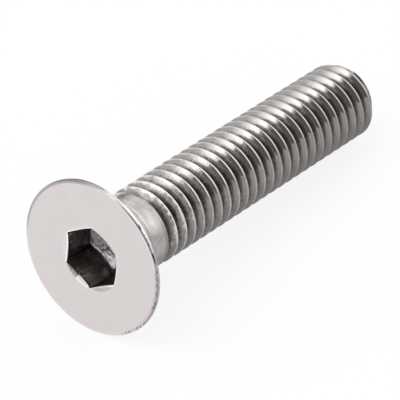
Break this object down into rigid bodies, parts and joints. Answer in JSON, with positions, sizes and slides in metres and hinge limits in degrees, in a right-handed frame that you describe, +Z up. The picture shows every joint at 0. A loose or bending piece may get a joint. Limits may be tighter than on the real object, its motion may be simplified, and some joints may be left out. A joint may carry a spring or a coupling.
{
  "type": "countersunk socket screw",
  "caption": "Fully threaded steel machine screw with a flat conical head that sits flush in a countersink and a hexagon socket in its face, lying on its side.",
  "frame": {"origin": "centre of the lying screw's box, on the plane it rests on", "axes": "+X from the head towards the tip along the plane, the screw's own axis dipping 5.6 degrees below it; +Z up"},
  "size_m": [0.0306, 0.0114, 0.0115],
  "materials": {
    "bright_steel": "bright plain stainless steel: fine satin on the head face, rolled polish on the thread"
  },
  "bodies": {
    "root": {"screw": "bright_steel"}
  },
  "joints": []
}
